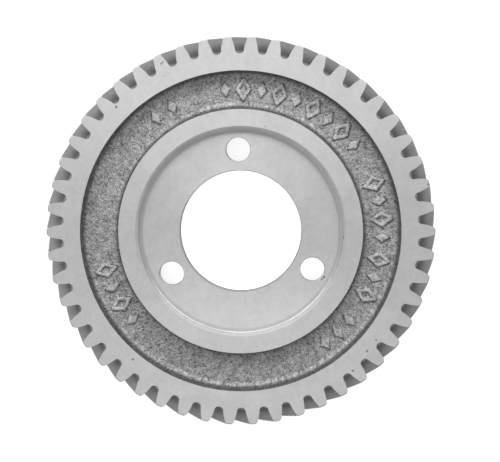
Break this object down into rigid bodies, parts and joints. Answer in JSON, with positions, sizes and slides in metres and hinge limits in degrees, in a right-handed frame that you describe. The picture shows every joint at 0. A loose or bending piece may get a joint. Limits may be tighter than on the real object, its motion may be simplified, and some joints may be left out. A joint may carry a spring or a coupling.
{
  "type": "camshaft gear",
  "caption": "Light-alloy camshaft gear with fifty right-hand helical teeth, a dished centre, a cast ring-shaped recess, a bore and three bolt holes.",
  "frame": {"origin": "on the gear's axis, in the plane of the back face", "axes": "+Z along the gear's axis, out of the front face with the dish; +Y through the first bolt hole"},
  "size_m": [0.1344, 0.1344, 0.016],
  "materials": {
    "alloy": "machined faces, as-cast recess"
  },
  "bodies": {
    "root": {"camshaft_gear": "alloy"}
  },
  "joints": []
}
